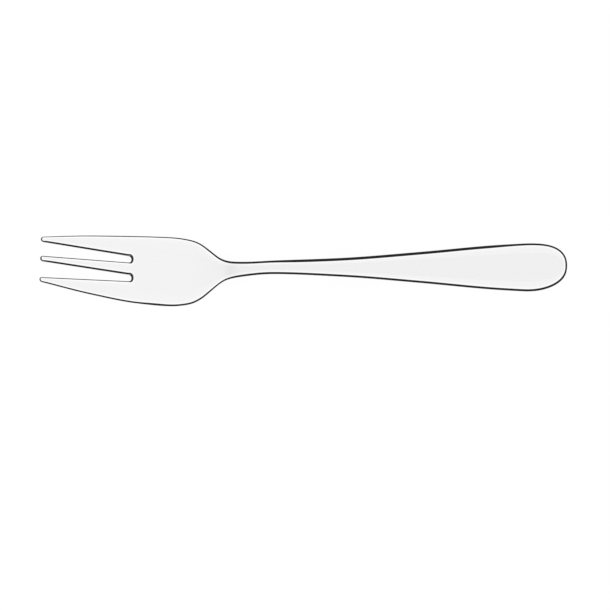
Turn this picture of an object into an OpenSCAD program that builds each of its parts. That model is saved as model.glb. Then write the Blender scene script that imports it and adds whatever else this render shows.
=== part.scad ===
// Pastry fork with three tines, one piece of polished stainless steel.
// It lies on its back as on a table. Its length runs along X, with the tips of the tines at the
// low end. The wide cutting tine is on the low side of Y, and the hollow side of the head is up.
// The origin lies on the table, under the middle of the fork's box.

/* [Overall] */
// Length from the tips of the tines to the end of the handle
fork_length = 150; // [125:1:190]
// Height of the neck's underside above the table
arch_height = 9; // [4:0.5:14]
// Height of the tips' underside above the table
tip_lift = 6.5; // [2:0.5:10]
// Distance over which each bend of the side view eases in and out
bend_run = 3.5; // [1:0.5:5]
// Width across the table that the rounded edge takes, on each side of the metal
edge_round = 1; // [0.6:0.05:1.2]

/* [Head] */
// Distance from the tips to where the shoulders end in the neck
head_length = 56; // [46:1:62]
// Reach of the cutting side from the handle's axis
cut_reach = 11.1; // [9.5:0.1:13]
// Reach of the plain side from the handle's axis
plain_reach = 9.1; // [8.8:0.1:11]
// Distance from the tips to the place where the head rests on the table
belly_place = 36; // [32:0.5:40]
// Length of the flat that the head rests on
belly_flat = 4; // [4:0.5:6]
// Thickness of the metal in the head
head_thickness = 1.7; // [1.2:0.1:2.5]

/* [Tines] */
// Thickness of the metal at the tips
tip_thickness = 1.2; // [0.8:0.1:1.6]
// Distance by which the plain tine's tip lies behind the cutting tine's
tip_slant = 0.4; // [0:0.1:2]
// Distance by which the tines lean to the plain side between the slots' ends and the tips
tine_lean = 2.9; // [2.4:0.1:3]

/* [Slots] */
// Distance from the tips to the closed ends of the slots
slot_length = 26; // [20:0.1:30]
// Width of each slot at its closed end
slot_width = 1.65; // [1.2:0.05:1.8]
// Further width of the slot beside the plain tine at its mouth
plain_slot_flare = 2.3; // [1.8:0.05:2.5]
// Further width of the slot beside the cutting tine at its mouth
cut_slot_flare = 2.85; // [2:0.05:2.9]
// Distance between the middles of the slots at their closed ends
slot_spread = 5.3; // [4.8:0.1:6]
// Further distance between the middles of the slots at their mouths
slot_fan = 0.5; // [0:0.1:0.8]
// Distance of the slots' closed ends from the handle's axis, towards the cutting side
slot_offset = 0.45; // [0:0.05:1]

/* [Neck and handle] */
// Distance from the tips to the slimmest part of the neck
neck_place = 66; // [64:1:76]
// Distance from the tips to the highest part of the neck
crest_place = 68; // [62:1:78]
// Width of the neck
neck_width = 3.9; // [3.2:0.1:5.5]
// Thickness of the metal in the neck
neck_thickness = 2.7; // [2:0.1:4]
// Width of the handle where it is widest
handle_width = 13.8; // [9:0.1:17]
// Thickness of the metal at the handle's end
handle_thickness = 1.8; // [1.2:0.1:2.6]
// Length of the rounded end, past the handle's widest place
end_length = 11.5; // [7:0.5:16]
// Distance by which the end's crown lies towards the plain side
end_shift = 0.5; // [0:0.1:1]

/* [Hidden] */

// Outline of each side of the head: distance from the tips as a share of the head's length,
// and the width past the neck's as a share of the side's reach past the neck.
cut_side_shares = [
    [0, 0.23], [0.26, 0.635], [0.5, 0.915], [0.675, 1], [0.76, 0.945],
    [0.82, 0.78], [0.88, 0.475], [0.94, 0.2], [1, 0.105]
];
plain_side_shares = [
    [0, 0.945], [0.25, 1], [0.5, 0.975], [0.68, 0.925], [0.76, 0.835],
    [0.81, 0.71], [0.87, 0.37], [0.93, 0.035], [0.98, -0.04], [1.04, -0.05]
];
// Outline of the handle: distance past the neck and width past the neck's, as shares.
handle_side_shares = [[0, 0], [0.27, 0.15], [0.585, 0.51], [0.87, 0.89], [1, 1]];
// Exponents of the handle's end and of the slots' closed ends: 2 would be round, and more is squarer.
end_exponent = 2.4;
slot_end_exponent = 2.6;
// Largest share of the half width that a rounded edge takes.
edge_limit_share = 0.7;
// Places along a bend's run where its height is averaged.
bend_shares = [-1, -0.5, 0, 0.5, 1];

// Number of points across the body, and of rows along each stretch.
lines = 7;
tip_rows = 5;
tine_rows = 8;
slot_rows = 5;
head_rows = 16;
handle_rows = 20;
end_rows = 6;
end_angle = 72;
// Angles of the rounded edge, from the upper face to the lower one.
edge_angles = [90, 60, 30, 0, -30, -60, -90];

widest_place = fork_length - end_length;
slot_round = slot_width / 2;

// Rises smoothly from 0 to 1 as the share goes from 0 to 1.
function ease(share) = share * share * (3 - 2 * share);

function between(low, high, share) = low + (high - low) * share;

// Smooth curve through points of a place and a value, with no overshoot.
function secant(points, i) = (points[i + 1][1] - points[i][1]) / (points[i + 1][0] - points[i][0]);

function slope(points, i) =
    i == 0 ? secant(points, 0) :
    i == len(points) - 1 ? secant(points, i - 1) :
    let (before = secant(points, i - 1), after = secant(points, i))
    before * after <= 0 ? 0 : 2 * before * after / (before + after);

function stretch(points, place, i = 0) =
    i == len(points) - 2 || place < points[i + 1][0] ? i : stretch(points, place, i + 1);

function curve(points, place) =
    let (
        i = stretch(points, place),
        run = points[i + 1][0] - points[i][0],
        t = max(0, min(1, (place - points[i][0]) / run))
    )
    between(points[i][1], points[i + 1][1], ease(t))
        + run * t * (1 - t) * (slope(points, i) * (1 - t) - slope(points, i + 1) * t);

// Outer edges of the fork, as the distance from the handle's axis at a place along it.
handle_points = [
    for (p = handle_side_shares)
    [between(neck_place, widest_place, p[0]), between(neck_width, handle_width, p[1]) / 2]
];

function side_points(shares, reach) = concat(
    [for (p = shares) [p[0] * head_length, between(neck_width / 2, reach, p[1])]],
    handle_points
);

cut_points = side_points(cut_side_shares, cut_reach);
plain_points = side_points(plain_side_shares, plain_reach);

function end_half_width(s) =
    let (share = min(1, (s - widest_place) / end_length))
    handle_width / 2 * pow(1 - pow(share, end_exponent), 1 / end_exponent);

function end_middle(s) = end_shift * ease((s - widest_place) / end_length);

function cut_edge(s) = s > widest_place ? end_middle(s) - end_half_width(s) : -curve(cut_points, s);

function plain_edge(s) = s > widest_place ? end_middle(s) + end_half_width(s) : curve(plain_points, s);

// Slots, each a slim wedge with a rounded closed end. Side is -1 beside the cutting tine, else 1.
function slot_middle(side, s) =
    let (out_share = 1 - s / slot_length)
    tine_lean * out_share - slot_offset + side * (slot_spread + slot_fan * out_share) / 2;

function slot_half_width(side, s) =
    let (
        flare = side < 0 ? cut_slot_flare : plain_slot_flare,
        into_end = max(0, s - slot_length + slot_round) / slot_round,
        end_factor = pow(max(0, 1 - pow(into_end, slot_end_exponent)), 1 / slot_end_exponent)
    )
    (slot_width + flare * (1 - s / slot_length)) / 2 * end_factor;

// Tines, numbered from the cutting tine, each between a lower and an upper edge.
function tine_low(t, s) =
    t == 0 ? cut_edge(s) : let (side = 2 * t - 3) slot_middle(side, s) + slot_half_width(side, s);

function tine_high(t, s) =
    t == 2 ? plain_edge(s) : let (side = 2 * t - 1) slot_middle(side, s) - slot_half_width(side, s);

function tip_place(t) = tip_slant * t / 2;

function tip_round(t) = (tine_high(t, tip_place(t)) - tine_low(t, tip_place(t))) / 2;

function tip_factor(t, s) =
    let (to_round = max(0, 1 - (s - tip_place(t)) / tip_round(t)))
    sqrt(max(0, 1 - to_round * to_round));

// Point of a tine's outline: across is -1 on the lower edge, 0 at the tip and 1 on the upper edge.
// The third number is the half width of the metal there.
function tine_point(t, s, across) =
    let (half_width = (tine_high(t, s) - tine_low(t, s)) / 2)
    [s, tine_low(t, s) + half_width * (1 + across * tip_factor(t, s)), half_width];

function body_point(s, across) =
    [s, across < 0 ? cut_edge(s) : plain_edge(s), (plain_edge(s) - cut_edge(s)) / 2];

// Places of the rows along a tine and along the body.
function tine_places(t) = concat(
    [for (k = [1:tip_rows]) tip_place(t) + tip_round(t) * (1 - cos(90 * k / tip_rows))],
    [
        for (k = [1:tine_rows])
        between(tip_place(t) + tip_round(t), slot_length - slot_round, k / (tine_rows + 1))
    ],
    [for (k = [0:slot_rows - 1]) slot_length - slot_round * (1 - sin(90 * k / slot_rows))]
);

body_places = concat(
    [for (k = [0:head_rows]) between(slot_length, head_length, k / head_rows)],
    [for (k = [1:handle_rows]) between(head_length, widest_place, k / handle_rows)],
    [for (k = [1:end_rows]) widest_place + end_length * sin(end_angle * k / end_rows)]
);

tine_row_count = tip_rows + tine_rows + slot_rows;
body_row_count = len(body_places);
last_place = body_places[body_row_count - 1];

function end_point(j) =
    let (
        y = between(cut_edge(last_place), plain_edge(last_place), j / (lines - 1)),
        half_width = handle_width / 2,
        aside = abs(y - end_shift) / half_width
    )
    [widest_place + end_length * pow(1 - pow(aside, end_exponent), 1 / end_exponent), y, half_width];

function slot_end_point(side) =
    [slot_length, slot_middle(side, slot_length), (slot_spread - slot_width) / 2];

// The outline seen from above, anticlockwise from the cutting tine's tip, in its stretches.
function low_side(t) = [for (s = tine_places(t)) tine_point(t, s, -1)];
function high_side(t) =
    let (s = tine_places(t))
    [for (k = [tine_row_count - 1:-1:0]) tine_point(t, s[k], 1)];
function tip(t) = [tine_point(t, tip_place(t), 0)];
outline_parts = [
    tip(0),
    low_side(0),
    [for (s = body_places) body_point(s, -1)],
    [for (j = [1:lines - 2]) end_point(j)],
    [for (k = [body_row_count - 1:-1:0]) body_point(body_places[k], 1)],
    high_side(2),
    tip(2),
    low_side(2),
    [slot_end_point(1)],
    high_side(1),
    tip(1),
    low_side(1),
    [slot_end_point(-1)],
    high_side(0)
];
outline = [for (part = outline_parts) for (p = part) p];
outline_count = len(outline);

// Which of those stretches are which, with the tines and slots in order from the cutting tine.
tip_parts = [0, 10, 6];
low_parts = [1, 11, 7];
high_parts = [13, 9, 5];
slot_end_parts = [12, 8];
body_low_part = 2;
end_part = 3;
body_high_part = 4;

// Number of a stretch's first point in the outline.
function first(part) = part == 0 ? 0 : first(part - 1) + len(outline_parts[part - 1]);

// The outline drawn in by the rounded edge, which is where the flat faces begin.
function outward(i) =
    let (along = outline[(i + 1) % outline_count] - outline[(i + outline_count - 1) % outline_count])
    [along[1], -along[0]] / norm([along[0], along[1]]);

function drawn_in(i, share) =
    [outline[i][0], outline[i][1]]
        - outward(i) * share * min(edge_round, edge_limit_share * outline[i][2]);

rim = [for (i = [0:outline_count - 1]) drawn_in(i, 1)];

// Numbers of the points of the upper face, by tine and row, or by row and line of the body.
function tip_at(t) = first(tip_parts[t]);
function low_at(t, r) = first(low_parts[t]) + r;
function high_at(t, r) = first(high_parts[t]) + tine_row_count - 1 - r;
function middle_at(t, r) = r == 0 ? tip_at(t) : outline_count + t * (tine_row_count - 1) + r - 1;
inner_start = outline_count + 3 * (tine_row_count - 1);
function body_at(r, j) =
    j == 0 ? first(body_low_part) + r :
    j == lines - 1 ? first(body_high_part) + body_row_count - 1 - r :
    r == 0 && j == 2 ? first(slot_end_parts[0]) :
    r == 0 && j == 4 ? first(slot_end_parts[1]) :
    r == 0 ? inner_start + (j - 1) / 2 :
    r == body_row_count - 1 ? first(end_part) + j - 1 :
    inner_start + 3 + (r - 1) * (lines - 2) + j - 1;
function tine_at(t, r, j) =
    r == tine_row_count ? body_at(0, 2 * t + j) : [low_at(t, r), middle_at(t, r), high_at(t, r)][j];

// Points of the upper face inside its rim. Across the body they spread evenly, but next to the
// slots they follow the slots.
function slot_line_share(j) =
    let (
        low = rim[body_at(0, 0)][1],
        high = rim[body_at(0, lines - 1)][1],
        near = [for (side = [-1, 1]) (slot_middle(side, slot_length) - low) / (high - low)]
    )
    [0, near[0] / 2, near[0], (near[0] + near[1]) / 2, near[1], (near[1] + 1) / 2, 1][j];

function line_share(r, j) =
    between(slot_line_share(j), j / (lines - 1), ease(min(1, r / head_rows)));

inner_points = concat(
    [for (t = [0:2]) for (r = [1:tine_row_count - 1]) (rim[low_at(t, r)] + rim[high_at(t, r)]) / 2],
    [for (j = [1:2:lines - 2]) (rim[body_at(0, j - 1)] + rim[body_at(0, j + 1)]) / 2],
    [
        for (r = [1:body_row_count - 2]) for (j = [1:lines - 2])
        between(rim[body_at(r, 0)], rim[body_at(r, lines - 1)], line_share(r, j))
    ]
);
face_points = concat(rim, inner_points);
face_count = len(face_points);

// Side view: the tips rise from the belly, the neck arches, and the handle's end lies flat.
function bend(s) =
    let (
        belly_start = belly_place - belly_flat / 2 - bend_run,
        belly_end = belly_place + belly_flat / 2 + bend_run,
        handle_end = widest_place - bend_run
    )
    s < belly_start ? tip_lift * pow(1 - s / belly_start, 2) :
    s < belly_end ? 0 :
    s < crest_place ? arch_height * ease((s - belly_end) / (crest_place - belly_end)) :
    s < handle_end ? arch_height * (1 - ease((s - crest_place) / (handle_end - crest_place))) :
    0;

function underside(s) =
    let (heights = [for (share = bend_shares) bend(s + bend_run * share)])
    heights * [for (h = heights) 1] / len(heights);

thickness_points = [
    [0, tip_thickness],
    [slot_length, head_thickness],
    [neck_place, neck_thickness],
    [widest_place, handle_thickness]
];

// Stands a point of the plan at an angle of the rounded edge, and centres the fork's box.
function stood(p, angle) = [
    p[0] - fork_length / 2,
    p[1] + (cut_reach - plain_reach) / 2,
    underside(p[0]) + curve(thickness_points, p[0]) * (1 + sin(angle)) / 2
];

rings = len(edge_angles) - 2;
fork_points = concat(
    [for (p = face_points) stood(p, 90)],
    [for (p = face_points) stood(p, -90)],
    [
        for (k = [1:rings]) for (i = [0:outline_count - 1])
        stood(drawn_in(i, 1 - cos(edge_angles[k])), edge_angles[k])
    ]
);

// Number of a point in one ring of the rounded edge, where the first and last are the faces' rims.
function ring_at(k, i) =
    let (at = i % outline_count)
    k == 0 ? at : k > rings ? face_count + at : 2 * face_count + (k - 1) * outline_count + at;

// Faces of one side between rows of points, as pairs of triangles.
face_squares = concat(
    [
        for (t = [0:2]) for (r = [0:tine_row_count - 1]) for (j = [0:1])
        [tine_at(t, r, j), tine_at(t, r, j + 1), tine_at(t, r + 1, j + 1), tine_at(t, r + 1, j)]
    ],
    [
        for (r = [0:body_row_count - 2]) for (j = [0:lines - 2])
        [body_at(r, j), body_at(r, j + 1), body_at(r + 1, j + 1), body_at(r + 1, j)]
    ]
);
rim_squares = [
    for (k = [0:rings]) for (i = [0:outline_count - 1])
    [ring_at(k, i), ring_at(k, i + 1), ring_at(k + 1, i + 1), ring_at(k + 1, i)]
];

function triangles(q) = [[q[0], q[1], q[2]], [q[0], q[2], q[3]]];

module fork() {
    color([0.78, 0.78, 0.79])
        polyhedron(
            points = fork_points,
            faces = concat(
                [for (q = face_squares) each triangles(q)],
                [for (q = face_squares) each triangles([for (k = [3:-1:0]) face_count + q[k]])],
                [for (q = rim_squares) each triangles(q)]
            )
        );
}

fork();
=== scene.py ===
# Pastry fork in one piece of polished steel, lying on its back and seen from straight above.
import math

import bmesh
import bpy
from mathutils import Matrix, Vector


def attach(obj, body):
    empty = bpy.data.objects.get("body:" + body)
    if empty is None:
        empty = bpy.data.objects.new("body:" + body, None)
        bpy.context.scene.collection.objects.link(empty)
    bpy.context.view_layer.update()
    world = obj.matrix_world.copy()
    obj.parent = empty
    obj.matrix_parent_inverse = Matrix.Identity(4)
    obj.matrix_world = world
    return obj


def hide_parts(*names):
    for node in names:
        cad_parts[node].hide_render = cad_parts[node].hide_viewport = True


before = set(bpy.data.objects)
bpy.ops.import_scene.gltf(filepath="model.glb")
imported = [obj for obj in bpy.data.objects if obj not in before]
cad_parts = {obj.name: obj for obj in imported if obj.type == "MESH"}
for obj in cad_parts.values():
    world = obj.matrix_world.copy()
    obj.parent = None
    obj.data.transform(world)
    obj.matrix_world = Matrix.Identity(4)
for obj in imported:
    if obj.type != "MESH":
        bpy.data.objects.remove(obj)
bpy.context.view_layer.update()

mm = 0.001

# the fork's sizes, the same as the construction's; places are measured from the tips
fork = dict(
    length=150 * mm, arch=9 * mm, tipLift=6.5 * mm, bendRun=3.5 * mm, bendSteps=6,
    headLength=56 * mm, cutReach=11.1 * mm, plainReach=9.1 * mm,
    belly=36 * mm, bellyFlat=4 * mm,
    slotLength=26 * mm, slotWidth=1.65 * mm, slotSpread=5.3 * mm, slotFan=0.5 * mm,
    slotOffset=0.45 * mm, slotFlares=(2.85 * mm, 2.3 * mm), slotPower=2.6,
    lean=2.9 * mm, slant=0.4 * mm,
    neck=66 * mm, neckWidth=3.9 * mm, crest=68 * mm,
    handleWidth=13.8 * mm, endLength=11.5 * mm, endShift=0.5 * mm, endPower=2.4,
    tipThickness=1.2 * mm, headThickness=1.7 * mm, neckThickness=2.7 * mm, endThickness=1.8 * mm,
)
fork["widest"] = fork["length"] - fork["endLength"]
# how far the handle's axis lies from the middle of the fork's width, towards the plain side
fork["aside"] = (fork["cutReach"] - fork["plainReach"]) / 2

# outlines as shares: place along the head or handle, and width past the neck's
cutShares = [(0, 0.23), (0.26, 0.635), (0.5, 0.915), (0.675, 1), (0.76, 0.945),
             (0.82, 0.78), (0.88, 0.475), (0.94, 0.2), (1, 0.105)]
plainShares = [(0, 0.945), (0.25, 1), (0.5, 0.975), (0.68, 0.925), (0.76, 0.835),
               (0.81, 0.71), (0.87, 0.37), (0.93, 0.035), (0.98, -0.04), (1.04, -0.05)]
handleShares = [(0, 0), (0.27, 0.15), (0.585, 0.51), (0.87, 0.89), (1, 1)]


def ease(share):
    return share * share * (3 - 2 * share)


def between(low, high, share):
    return low + (high - low) * share


def curveAt(points, place):  # smooth through the points, with no overshoot
    last = len(points) - 2

    def secant(i):
        return (points[i + 1][1] - points[i][1]) / (points[i + 1][0] - points[i][0])

    def slope(i):
        if i == 0 or i > last:
            return secant(min(i, last))
        before, after = secant(i - 1), secant(i)
        return 0 if before * after <= 0 else 2 * before * after / (before + after)

    i = max(k for k in range(last + 1) if k == 0 or points[k][0] <= place)
    run = points[i + 1][0] - points[i][0]
    t = min(1, max(0, (place - points[i][0]) / run))
    return (between(points[i][1], points[i + 1][1], ease(t))
            + run * t * (1 - t) * (slope(i) * (1 - t) - slope(i + 1) * t))


def sidePoints(shares, reach):
    half = fork["neckWidth"] / 2
    head = [(a * fork["headLength"], between(half, reach, b)) for a, b in shares]
    return head + [(between(fork["neck"], fork["widest"], a), between(half, fork["handleWidth"] / 2, b))
                   for a, b in handleShares]


cutPoints = sidePoints(cutShares, fork["cutReach"])
plainPoints = sidePoints(plainShares, fork["plainReach"])


def outerEdge(side, s):  # side -1 is the cutting side, 1 the plain side
    if s <= fork["widest"]:
        return side * curveAt(cutPoints if side < 0 else plainPoints, s)
    share = min(1, (s - fork["widest"]) / fork["endLength"])
    half = fork["handleWidth"] / 2 * max(0, 1 - share ** fork["endPower"]) ** (1 / fork["endPower"])
    return fork["endShift"] * ease(share) + side * half


def slotEdge(slot, side, s):  # slot 0 lies beside the cutting tine, slot 1 beside the plain one
    outShare = 1 - s / fork["slotLength"]
    middle = fork["lean"] * outShare - fork["slotOffset"]
    middle += (2 * slot - 1) * (fork["slotSpread"] + fork["slotFan"] * outShare) / 2
    radius = fork["slotWidth"] / 2
    intoEnd = max(0, s - fork["slotLength"] + radius) / radius
    half = (fork["slotWidth"] + fork["slotFlares"][slot] * outShare) / 2
    return middle + side * half * max(0, 1 - intoEnd ** fork["slotPower"]) ** (1 / fork["slotPower"])


def tineEdges(t, s):  # lower and upper edge of a tine, before its tip is rounded
    low = outerEdge(-1, s) if t == 0 else slotEdge(t - 1, 1, s)
    high = outerEdge(1, s) if t == 2 else slotEdge(t, -1, s)
    return low, high


def tipPlace(t):
    return fork["slant"] * t / 2


def tipRadius(t):
    low, high = tineEdges(t, tipPlace(t))
    return (high - low) / 2


# the side view: how high the underside lies, and how thick the metal is
thicknessPoints = [(0, fork["tipThickness"]), (fork["slotLength"], fork["headThickness"]),
                   (fork["neck"], fork["neckThickness"]), (fork["widest"], fork["endThickness"])]


def halfThickness(s):
    return curveAt(thicknessPoints, s) / 2


def bend(s):
    bellyStart = fork["belly"] - fork["bellyFlat"] / 2 - fork["bendRun"]
    bellyEnd = fork["belly"] + fork["bellyFlat"] / 2 + fork["bendRun"]
    handleEnd = fork["widest"] - fork["bendRun"]
    if s < bellyStart:
        return fork["tipLift"] * (1 - s / bellyStart) ** 2
    if s < bellyEnd:
        return 0
    if s < fork["crest"]:
        return fork["arch"] * ease((s - bellyEnd) / (fork["crest"] - bellyEnd))
    if s < handleEnd:
        return fork["arch"] * (1 - ease((s - fork["crest"]) / (handleEnd - fork["crest"])))
    return 0


def underside(s):  # each bend eased by averaging the height over a short run
    count = fork["bendSteps"]
    steps = [k / count for k in range(-count, count + 1)]
    return sum(bend(s + fork["bendRun"] * share) for share in steps) / len(steps)


# rows of quads: round tips, tines, round slot ends, head, handle and round end; levels of smoothing
rows = dict(tip=6, tine=20, slotEnd=6, head=26, handle=34, end=12, smoothing=2)
# how much the head's rows crowd towards the slots and the end's towards its crown, how far behind
# the slots the rows still bow around them, and the share of the bow that reaches the lines beside
crowding = dict(head=1.5, end=1.3, bulge=6 * mm, bow=0.96)


def arc(steps):  # shares of a quarter circle's depth
    return [1 - math.cos(math.pi / 2 * k / steps) for k in range(steps + 1)]


def tinePlaces(t):
    start, radius, slotRadius = tipPlace(t), tipRadius(t), fork["slotWidth"] / 2
    tip = [start + radius * share for share in arc(rows["tip"])]
    slotEnd = [fork["slotLength"] - slotRadius * share for share in reversed(arc(rows["slotEnd"]))]
    count = rows["tine"]
    return tip + [between(tip[-1], slotEnd[0], ease(k / count)) for k in range(1, count)] + slotEnd


def bodyPlaces():
    head = [between(fork["slotLength"], fork["headLength"], (k / rows["head"]) ** crowding["head"])
            for k in range(rows["head"] + 1)]
    handle = [between(fork["headLength"], fork["widest"], k / rows["handle"])
              for k in range(1, rows["handle"] + 1)]
    turns = [math.pi / 2 * (1 - (1 - k / rows["end"]) ** crowding["end"])
             for k in range(1, rows["end"] + 1)]
    return head + handle + [fork["widest"] + fork["endLength"] * math.sin(turn) for turn in turns]


def outerPlace(s):  # spreads the rows that crowd beside a slot's closed end
    radius = fork["slotWidth"] / 2
    into = min(1, (fork["slotLength"] - s) / radius)
    return s if into == 1 else fork["slotLength"] - radius * 2 / math.pi * math.acos(1 - into)


def tinePoint(t, side, s):
    if (t, side) in ((0, -1), (2, 1)):
        s = outerPlace(s)
    low, high = tineEdges(t, s)
    toRound = max(0, 1 - (s - tipPlace(t)) / tipRadius(t))
    return Vector((s, (low + high) / 2 + side * (high - low) / 2 * math.sqrt(max(0, 1 - toRound ** 2))))


def bodyPoint(side, s):
    return Vector((s, outerEdge(side, s)))


# the polished edge, from its corner up a steady slope and easing into the flat face
edge = dict(
    corner=0.03 * mm, wall=2.5,  # width of each of the corner's two steps, and how steep the first is
    steep=0.8, probe=0.5 * mm,  # how steep the slope is, and how far off the fork's climb is probed
    easing=0.4 * mm, easingRises=(0.45, 0.1),  # its width, and its steps' rises as shares of the slope's
    limit=0.86, leastWidth=0.8 * mm,  # most of the metal's width for both edges, and the least that counts
    slotCut=0.2 * mm,  # width of the slope along a slot's cutting side
    slotEnd=0.2 * mm, slotEndGain=1.6,  # how much wider it is at a closed end, and how soon it is so
    slotMargin=0.1 * mm,  # how far before the slots' ends the metal counts as whole
    tip=0.44 * mm, tipEasing=0.2 * mm, tipPaintedShade=0.6, tipReach=1.5 * mm,  # slope, easing and painted shade of tips
)
# how wide the slope is along each side of the fork, and along each slot's plain side, in
# millimetres by the place from the tips
cutSlopes = [(0, 0.36), (20, 0.41), (28, 0.43), (33, 0.55), (38, 0.47), (47, 0.46), (51, 0.35),
             (57, 0.49), (66, 0.55), (130, 0.57), (150, 0.58)]
slotSlopes = [(0, 0.42), (6, 0.48), (16, 0.51), (26, 0.56)]
plainSlopes = [(0, 0.15), (20, 0.24), (34, 0.25), (42, 0.31), (50, 0.43), (66, 0.54),
               (75, 0.72), (128, 0.71), (134, 0.56), (140, 0.5), (150, 0.44)]
# how bright the steel is painted, from -1 for painted shade through 0 to 1 for a painted highlight: the
# rim from the wall inward, with its painted highlight, the same where painted shade sits, and the flat
# face by the place from the tips in millimetres, with painted shade making the neck and handle a little
# darker
rimHighlightTones = [0, 0, 0, 0, 0.2, 0.9, 1, 0.15]
paintedShadeTones = [-0.9, -1, -1, -1, -1, -0.6, 1, 0.15]
faceShadeTones = [(0, 0), (42, 0), (47, -0.017), (50, -0.026), (52.5, -0.026), (54.3, -0.064),
             (56, -0.044), (62, -0.04), (80, -0.032), (150, -0.03)]


def widthAt(p):  # of the metal that the point's edge bounds
    if p.x > fork["slotLength"] - edge["slotMargin"]:
        return outerEdge(1, min(p.x, fork["widest"])) - outerEdge(-1, min(p.x, fork["widest"]))
    widths = []
    for t in range(3):
        low, high = tineEdges(t, p.x)
        widths.append((abs(p.y - (low + high) / 2) / (high - low), high - low))
    return min(widths)[1]


def tipShare(p, outward):  # 1 where the edge faces forward out of a tine's tip
    return max(0, -outward.x) ** 2 if p.x < edge["tipReach"] else 0


def slotEndShare(p, outward, inSlot):  # 1 where the edge faces the tips out of a slot's closed end
    atEnd = inSlot and p.x > fork["slotLength"] - fork["slotWidth"] / 2
    return min(1, edge["slotEndGain"] * max(0, -outward.x)) if atEnd else 0


def slopeWidth(p, outward, inSlot):
    if inSlot:
        low, high = curveAt(slotSlopes, p.x / mm) * mm, edge["slotCut"]
    else:
        low, high = curveAt(cutSlopes, p.x / mm) * mm, curveAt(plainSlopes, p.x / mm) * mm
    width = between(low, high, (1 + outward.y) / 2) + edge["slotEnd"] * slotEndShare(p, outward, inSlot)
    return between(width, edge["tip"], tipShare(p, outward))


def riseAt(p, outward):  # of the edge's slope, so that it lies equally steep where the fork climbs
    probe = edge["probe"]
    climb = (underside(p.x + probe) - underside(p.x - probe)) / (2 * probe)
    along = climb * outward.x
    return along + math.sqrt(max(0, along ** 2 - climb ** 2 + edge["steep"] ** 2))


# how near points have to be to join or to count as on the flat face, and how finely they are told apart
weld = dict(reach=0.0005 * mm, flat=0.0002 * mm, keysPerMetre=1e7)
# from how far behind the slots' rim on the flat face is evened out, how often and how strongly
evening = dict(clear=0.25 * mm, passes=4, factor=0.5)


def pointKey(p):
    return round(p.x * weld["keysPerMetre"]), round(p.y * weld["keysPerMetre"])


def outlinePoints():  # anticlockwise, first those outside and then those in the slots
    outer = [tinePoint(0, -1, s) for s in tinePlaces(0)]
    outer += [bodyPoint(-1, s) for s in bodyPlaces()[1:]]
    outer += [bodyPoint(1, s) for s in reversed(bodyPlaces()[:-1])]
    outer += [tinePoint(2, 1, s) for s in reversed(tinePlaces(2)[:-1])]
    slots = [tinePoint(2, -1, s) for s in tinePlaces(2)[1:]]
    slots += [tinePoint(1, 1, s) for s in reversed(tinePlaces(1)[:-1])]
    slots += [tinePoint(1, -1, s) for s in tinePlaces(1)[1:]]
    slots += [tinePoint(0, 1, s) for s in reversed(tinePlaces(0)[1:-1])]
    return outer, slots


def outlineInward():  # by point: the way in, the widths of corner, slope and easing, and how much shade is painted there
    outer, slots = outlinePoints()
    run = outer + slots
    inward = {}
    for i, p in enumerate(run):
        along = (run[(i + 1) % len(run)] - run[i - 1]).normalized()
        inside, inSlot = Vector((-along.y, along.x)), i >= len(outer)
        outward = -inside
        atTip = tipShare(p, outward)
        easing = between(edge["easing"], edge["tipEasing"], atTip)
        ways = (outward, outward) if atTip > 0 else (inside, outward)
        both = sum(slopeWidth(p, way, inSlot) + 2 * edge["corner"] + easing for way in ways)
        fit = min(1, edge["limit"] * max(widthAt(p), edge["leastWidth"]) / both)
        widths = [width * fit for width in (edge["corner"], slopeWidth(p, outward, inSlot), easing)]
        paintedShadeShare = max(slotEndShare(p, outward, inSlot), edge["tipPaintedShade"] * atTip)
        inward[pointKey(p)] = inside, widths, paintedShadeShare
    return inward


def rimPoints(p, inward):  # from the wall's middle in to the flat face, each as place, height and tone
    inside, (corner, slope, easing), paintedShadeShare = inward[pointKey(p)]
    rise = riseAt(p, -inside)
    steps = [(corner, edge["wall"]), (corner, rise), (slope / 2, rise), (slope / 2, rise)]
    steps += [(easing / 2, share * rise) for share in edge["easingRises"]]
    drop = sum(ahead * steep for ahead, steep in steps)
    points = [(*p, 0), (*p, halfThickness(p.x) - drop)]
    place = 0
    for ahead, steep in steps:
        place += ahead
        drop -= ahead * steep
        q = p + inside * place
        points.append((*q, halfThickness(q.x) - drop))
    # tones: a painted highlight along the rim, and painted shade where a slot closes and at a tine's tip
    tones = [between(plain, dark, paintedShadeShare) for plain, dark in zip(rimHighlightTones, paintedShadeTones)]
    return [(*point, tone) for point, tone in zip(points, tones)]


# the flat face, with its tone of painted shade at the neck and handle
def facePoint(p):
    return *p, halfThickness(p.x), curveAt(faceShadeTones, p.x / mm)


def bowed(outer, slotSide, s):  # between the two, in a row that bows out round a slot's closed end
    intoEnd = max(0, 1 - (fork["slotLength"] - s) / (fork["slotWidth"] / 2))
    return Vector((between(outer.x, slotSide.x, between(0.5, crowding["bow"], ease(intoEnd))),
                   (outer.y + slotSide.y) / 2))


def tineRow(t, s, inward):
    low, high = rimPoints(tinePoint(t, -1, s), inward), rimPoints(tinePoint(t, 1, s), inward)
    a, b = Vector(low[-1][:2]), Vector(high[-1][:2])
    middle = (bowed(a, b, s), (a + b) / 2, bowed(b, a, s))[t]
    return low + [facePoint(middle)] + high[::-1]


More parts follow.
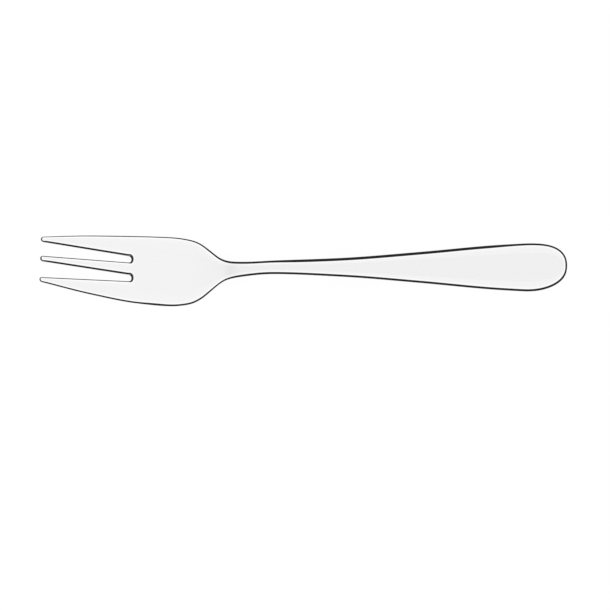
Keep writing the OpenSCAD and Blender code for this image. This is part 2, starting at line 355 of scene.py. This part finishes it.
def bodyRow(r, s, inward, slotInner):  # bowed round the slots at first, and evenly spread behind the head
    low, high = rimPoints(bodyPoint(-1, s), inward), rimPoints(bodyPoint(1, s), inward)
    a, b = Vector(low[-1][:2]), Vector(high[-1][:2])
    first, second = slotInner
    if r == 0:
        inner = [bowed(a, first, s), first, (first + second) / 2, second, bowed(b, second, s)]
    else:
        x, y = [(p.y - a.y) / (b.y - a.y) if r < rows["head"] else 0 for p in slotInner]
        bow = crowding["bow"]
        lines = [(x / 2, bow), (x, 1), ((x + y) / 2, 1), (y, 1), ((y + 1) / 2, bow)]
        evenly = [k / (len(lines) + 1) for k in range(1, len(lines) + 1)]
        spread = ease(min(1, r / rows["head"]))
        ahead = first.x - fork["slotLength"]
        ahead *= max(0, 1 - (s - fork["slotLength"]) / crowding["bulge"])
        inner = [a.lerp(b, between(share, even, spread)) + Vector((ahead * bulge, 0))
                 for (share, bulge), even in zip(lines, evenly)]
    return low + [facePoint(p) for p in inner] + high[::-1]


def addLane(bm, lane, tone):  # a grid whose rows and columns take the lane's places
    across, half = len(lane[0]), 0.5
    made = bmesh.ops.create_grid(bm, x_segments=len(lane) - 1, y_segments=across - 1, size=half)
    for v in made["verts"]:
        row = round((v.co.x + half) * (len(lane) - 1))
        column = round((v.co.y + half) * (across - 1))
        *v.co, v[tone] = lane[row][column]


def makeFork():
    inward = outlineInward()
    bm = bmesh.new()
    tone = bm.verts.layers.float.new("tone")
    for t in range(3):
        addLane(bm, [tineRow(t, s, inward) for s in tinePlaces(t)], tone)
    slotEnds = [Vector((fork["slotLength"], slotEdge(k, 1, fork["slotLength"]))) for k in (0, 1)]
    slotInner = [Vector(rimPoints(p, inward)[-1][:2]) for p in slotEnds]
    addLane(bm, [bodyRow(r, s, inward, slotInner) for r, s in enumerate(bodyPlaces())], tone)
    bmesh.ops.remove_doubles(bm, verts=bm.verts, dist=weld["reach"])

    # evens out the flat face behind the slots, whose rim keeps its place
    onFace = {v for v in bm.verts if halfThickness(v.co.x) - v.co.z < weld["flat"]}
    flat = [v for v in onFace if v.co.x > slotInner[0].x + evening["clear"]
            and all(e.other_vert(v) in onFace for e in v.link_edges)]
    for _ in range(evening["passes"]):
        bmesh.ops.smooth_vert(bm, verts=flat, factor=evening["factor"],
                              use_axis_x=True, use_axis_y=True, use_axis_z=False)
    for v in flat:
        v.co.z = halfThickness(v.co.x)

    # the underside mirrors the upper side and joins it along the outline
    copied = bmesh.ops.duplicate(bm, geom=bm.verts[:] + bm.edges[:] + bm.faces[:])["geom"]
    below = [v for v in copied if isinstance(v, bmesh.types.BMVert)]
    bmesh.ops.scale(bm, vec=(1, 1, -1), verts=below)
    bmesh.ops.reverse_faces(bm, faces=[f for f in copied if isinstance(f, bmesh.types.BMFace)])
    bmesh.ops.remove_doubles(bm, verts=bm.verts, dist=weld["reach"])
    bmesh.ops.recalc_face_normals(bm, faces=bm.faces)

    # stands the plan up along the side view, and centres it as the construction is
    for v in bm.verts:
        s = v.co.x
        v.co.z += underside(s) + halfThickness(s)
        v.co.x -= fork["length"] / 2
        v.co.y += fork["aside"]

    mesh = bpy.data.meshes.new("fork")
    bm.to_mesh(mesh)
    bm.free()
    mesh.shade_smooth()
    piece = bpy.data.objects.new("pastryFork", mesh)
    bpy.context.scene.collection.objects.link(piece)
    smooth = piece.modifiers.new("smooth", "SUBSURF")
    smooth.levels = smooth.render_levels = rows["smoothing"]
    print("fork:", len(mesh.polygons), "faces before smoothing")
    return piece


# how the steel looks, with lengths in millimetres, and each Rough, haze too, added to the polish
steelLook = dict(
    paintedShade=(0.02, 0.02, 0.02), face=(0.898, 0.898, 0.898), edge=(1, 1, 1),  # colours: painted shade, the steel's own, and a painted highlight
    polish=0.06, haze=0.04, hazeSize=22, hazeRange=(0.35, 0.65),  # the noise's values where haze comes in
    scratchRough=0.05, scratchLoss=0.985, scratchDepth=0.0002, scratchFade=0.06,
    paintedShadeRough=0.35, paintedShadeRange=(-0.9, -0.1),  # the tones between which the painted shade ends
    rippleSize=9, rippleDepth=0.0012,
    rests=[(-39, 1, 0), (67, 1, 0)], restReach=9, restFlat=6, rubRough=0.14,  # where it touches the table
)
# the way that each layer of scratches runs in degrees, how long and how far apart they are, and
# how few of them show
scratchLayers = [dict(turn=3, run=26, gap=0.07, few=0.62), dict(turn=-9, run=18, gap=0.09, few=0.68),
                 dict(turn=63, run=9, gap=0.12, few=0.74)]


def newGroup(name, inputs, outputs):
    group = bpy.data.node_groups.new(name, "ShaderNodeTree")
    for title, kind in inputs:
        group.interface.new_socket(name=title, in_out="INPUT", socket_type="NodeSocket" + kind)
    for title, kind in outputs:
        group.interface.new_socket(name=title, in_out="OUTPUT", socket_type="NodeSocket" + kind)
    return group, group.nodes.new("NodeGroupInput"), group.nodes.new("NodeGroupOutput")


def feed(tree, socket, value):  # the value is another node's output, or plain
    if isinstance(value, bpy.types.NodeSocket):
        tree.links.new(value, socket)
    else:
        socket.default_value = value


def addGroup(tree, group, **values):
    node = tree.nodes.new("ShaderNodeGroup")
    node.node_tree = group
    for title, value in values.items():
        feed(tree, node.inputs[title], value)
    return node.outputs["Mask"]


def addMath(tree, operation, *values):
    node = tree.nodes.new("ShaderNodeMath")
    node.operation = operation
    for socket, value in zip(node.inputs, values):
        feed(tree, socket, value)
    return node.outputs[0]


def addRange(tree, value, low, high, start=0, end=1):
    node = tree.nodes.new("ShaderNodeMapRange")
    node.interpolation_type = "SMOOTHSTEP"
    titles = ("Value", "From Min", "From Max", "To Min", "To Max")
    for title, given in zip(titles, (value, low, high, start, end)):
        feed(tree, node.inputs[title], given)
    return node.outputs[0]


def addLength(tree, vector):
    node = tree.nodes.new("ShaderNodeVectorMath")
    node.operation = "LENGTH"
    tree.links.new(vector, node.inputs[0])
    return node.outputs["Value"]


def addNoise(tree, place, size):
    noise = tree.nodes.new("ShaderNodeTexNoise")
    noise.inputs["Scale"].default_value = 1 / (size * mm)
    tree.links.new(place, noise.inputs["Vector"])
    return noise.outputs["Fac"]


def makeScratches():  # hairlines that run along the turned X, thin and broken up
    group, given, made = newGroup(
        "fineScratches", [("Place", "Vector"), ("Turn", "Vector"), ("Scale", "Vector"), ("Few", "Float")],
        [("Mask", "Float")])
    turn = group.nodes.new("ShaderNodeVectorRotate")
    turn.rotation_type = "EULER_XYZ"
    group.links.new(given.outputs["Place"], turn.inputs["Vector"])
    group.links.new(given.outputs["Turn"], turn.inputs["Rotation"])
    scaled = group.nodes.new("ShaderNodeVectorMath")
    scaled.operation = "MULTIPLY"
    group.links.new(turn.outputs[0], scaled.inputs[0])
    group.links.new(given.outputs["Scale"], scaled.inputs[1])
    noise = group.nodes.new("ShaderNodeTexNoise")
    noise.inputs["Scale"].default_value = 1
    noise.inputs["Detail"].default_value = 0
    group.links.new(scaled.outputs[0], noise.inputs["Vector"])
    upper = addMath(group, "ADD", given.outputs["Few"], steelLook["scratchFade"])
    mask = addRange(group, noise.outputs["Fac"], given.outputs["Few"], upper)
    group.links.new(mask, made.inputs["Mask"])
    return group


def makeRubMark():  # a worn patch round the place where the fork touches the table
    group, given, made = newGroup(
        "rubMark", [("Place", "Vector"), ("Centre", "Vector"), ("Scale", "Vector")], [("Mask", "Float")])
    away = group.nodes.new("ShaderNodeMapping")
    away.vector_type = "TEXTURE"
    for title, socket in (("Vector", "Place"), ("Location", "Centre"), ("Scale", "Scale")):
        group.links.new(given.outputs[socket], away.inputs[title])
    far = addLength(group, away.outputs[0])
    group.links.new(addRange(group, far, 0, 1, 1, 0), made.inputs["Mask"])
    return group


def makePolishedSteel():
    look = steelLook
    material = bpy.data.materials.new("polishedSteel")
    material.use_nodes = True
    tree = material.node_tree
    shader = tree.nodes["Principled BSDF"]
    shader.inputs["Metallic"].default_value = 1
    place = tree.nodes.new("ShaderNodeTexCoord").outputs["Object"]
    tone = tree.nodes.new("ShaderNodeAttribute")
    tone.attribute_name = "tone"

    scratches, rubMark = makeScratches(), makeRubMark()
    masks = [addGroup(tree, scratches, Place=place, Few=layer["few"],
                      Turn=(0, 0, math.radians(layer["turn"])),
                      Scale=(1 / (layer["run"] * mm), *[1 / (layer["gap"] * mm)] * 2))
             for layer in scratchLayers]
    scratched = addMath(tree, "MAXIMUM", addMath(tree, "MAXIMUM", masks[0], masks[1]), masks[2])
    reach = look["restReach"] * mm
    rubs = [addGroup(tree, rubMark, Place=place, Centre=[p * mm for p in centre],
                     Scale=(reach, reach, reach / look["restFlat"])) for centre in look["rests"]]
    rubbed = addMath(tree, "MAXIMUM", *rubs)

    # colour: the tone along the rim and the fork, from -1 for painted shade to 1 for a painted highlight,
    # a little dulled in the scratches
    colour = tree.nodes.new("ShaderNodeValToRGB")
    colour.color_ramp.elements.new(0.5)
    for element, name in zip(colour.color_ramp.elements, ("paintedShade", "face", "edge")):
        element.color = (*look[name], 1)
    tree.links.new(addMath(tree, "MULTIPLY_ADD", tone.outputs["Fac"], 0.5, 0.5), colour.inputs["Fac"])
    dulled = tree.nodes.new("ShaderNodeVectorMath")
    dulled.operation = "SCALE"
    tree.links.new(colour.outputs["Color"], dulled.inputs[0])
    tree.links.new(addRange(tree, scratched, 0, 1, 1, look["scratchLoss"]), dulled.inputs["Scale"])
    tree.links.new(dulled.outputs[0], shader.inputs["Base Color"])

    # roughness: hazy patches, scratches, rubbed places and where shade is painted
    rough = addRange(tree, addNoise(tree, place, look["hazeSize"]), *look["hazeRange"],
                     look["polish"], look["polish"] + look["haze"])
    rough = addMath(tree, "MULTIPLY_ADD", scratched, look["scratchRough"], rough)
    rough = addMath(tree, "MULTIPLY_ADD", rubbed, look["rubRough"], rough)
    # rougher where the shade is painted
    paintedShade = addRange(tree, tone.outputs["Fac"], *look["paintedShadeRange"], look["paintedShadeRough"], 0)
    tree.links.new(addMath(tree, "ADD", paintedShade, rough), shader.inputs["Roughness"])

    # height: a slight ripple left by the polishing wheel, and the scratches
    height = addMath(tree, "MULTIPLY", addNoise(tree, place, look["rippleSize"]), look["rippleDepth"] * mm)
    height = addMath(tree, "MULTIPLY_ADD", scratched, -look["scratchDepth"] * mm, height)
    bump = tree.nodes.new("ShaderNodeBump")
    bump.inputs["Distance"].default_value = 1
    tree.links.new(height, bump.inputs["Height"])
    tree.links.new(bump.outputs[0], shader.inputs["Normal"])
    print("steel:", len(masks), "layers of scratches and", len(rubs), "rub marks")
    return material


# where the fork lies in the photograph, in its pixels, and the camera's height in metres
view = dict(pixels=610, tipX=40.1, endX=567.2, axisY=267.45, distance=2.5)


def makeCamera():
    scale = fork["length"] / (view["endX"] - view["tipX"])
    middle, centre = (view["tipX"] + view["endX"]) / 2, view["pixels"] / 2
    camera = bpy.data.cameras.new("camera")
    camera.lens = camera.sensor_width * view["distance"] / (view["pixels"] * scale)
    holder = bpy.data.objects.new("camera", camera)
    holder.location = ((centre - middle) * scale, fork["aside"] + (view["axisY"] - centre) * scale,
                       view["distance"])
    bpy.context.scene.collection.objects.link(holder)
    bpy.context.scene.camera = holder


# white paper on which the fork lies, most of it glowing white where the camera or a reflection sees it
floorLook = dict(size=4.0, paper=(0.95, 0.95, 0.95), glow=1.06, glowShare=0.85)


def isSeen(tree):  # 1 where the camera looks, straight, in a reflection or through glass
    rays = tree.nodes.new("ShaderNodeLightPath").outputs
    seen = addMath(tree, "ADD", rays["Is Camera Ray"], rays["Is Glossy Ray"])
    seen = addMath(tree, "ADD", seen, rays["Is Transmission Ray"])
    seen.node.use_clamp = True
    return seen


def makeFloor():
    material = bpy.data.materials.new("floorWhite")
    material.use_nodes = True
    tree = material.node_tree
    tree.nodes.clear()
    paper = tree.nodes.new("ShaderNodeBsdfDiffuse")
    paper.inputs["Color"].default_value = (*floorLook["paper"], 1)
    glow = tree.nodes.new("ShaderNodeEmission")
    glow.inputs["Strength"].default_value = floorLook["glow"]
    mix = tree.nodes.new("ShaderNodeMixShader")
    tree.links.new(addMath(tree, "MULTIPLY", isSeen(tree), floorLook["glowShare"]), mix.inputs["Fac"])
    tree.links.new(paper.outputs[0], mix.inputs[1])
    tree.links.new(glow.outputs[0], mix.inputs[2])
    tree.links.new(mix.outputs[0], tree.nodes.new("ShaderNodeOutputMaterial").inputs["Surface"])

    bm = bmesh.new()
    bmesh.ops.create_grid(bm, x_segments=1, y_segments=1, size=floorLook["size"] / 2)
    mesh = bpy.data.meshes.new("floor")
    bm.to_mesh(mesh)
    bm.free()
    mesh.materials.append(material)
    floor = bpy.data.objects.new("floor", mesh)
    bpy.context.scene.collection.objects.link(floor)


# the soft panel overhead: its brightness and that around it, its middle, half length and half width
# as sines of the angle from straight up, a scale so tall that height doesn't count, and the shares
# of its reach between which it fades
# the dark drape below: its brightness, the sines of the heights where it starts to fade and is gone,
# and how much higher it hangs at the fork's sides
sky = dict(
    top=1.0, sides=1.05, middle=-0.1, length=0.85, width=0.33, tall=1e6, fade=(0.85, 1.15),
    drape=0.02, drapeTop=0.25, drapeEnd=0.62, drapeSides=0.2,
)


def makeWorld():
    world = bpy.data.worlds.new("studio")
    world.use_nodes = True
    tree = world.node_tree
    direction = tree.nodes.new("ShaderNodeTexCoord").outputs["Generated"]
    panel = tree.nodes.new("ShaderNodeMapping")
    panel.vector_type = "TEXTURE"
    panel.inputs["Location"].default_value = (sky["middle"], 0, 0)
    panel.inputs["Scale"].default_value = (sky["length"], sky["width"], sky["tall"])
    tree.links.new(direction, panel.inputs["Vector"])
    tone = addRange(tree, addLength(tree, panel.outputs[0]), *sky["fade"], sky["top"], sky["sides"])

    parts = tree.nodes.new("ShaderNodeSeparateXYZ")
    tree.links.new(direction, parts.inputs[0])
    aside = addMath(tree, "MULTIPLY", parts.outputs["Y"], parts.outputs["Y"])
    lifted = addMath(tree, "MULTIPLY_ADD", aside, -sky["drapeSides"], parts.outputs["Z"])
    drape = addRange(tree, lifted, sky["drapeTop"], sky["drapeEnd"], sky["drape"], 1)
    background = tree.nodes["Background"]
    background.inputs["Color"].default_value = (1, 1, 1, 1)
    tree.links.new(addMath(tree, "MULTIPLY", tone, drape), background.inputs["Strength"])
    bpy.context.scene.world = world


makeCamera()
makeFloor()
makeWorld()
print("stage: floor, sky and camera")

steel = makePolishedSteel()
piece = makeFork()
piece.data.materials.append(steel)
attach(piece, "root")
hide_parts("fork")

bpy.context.scene.view_settings.view_transform = "Standard"
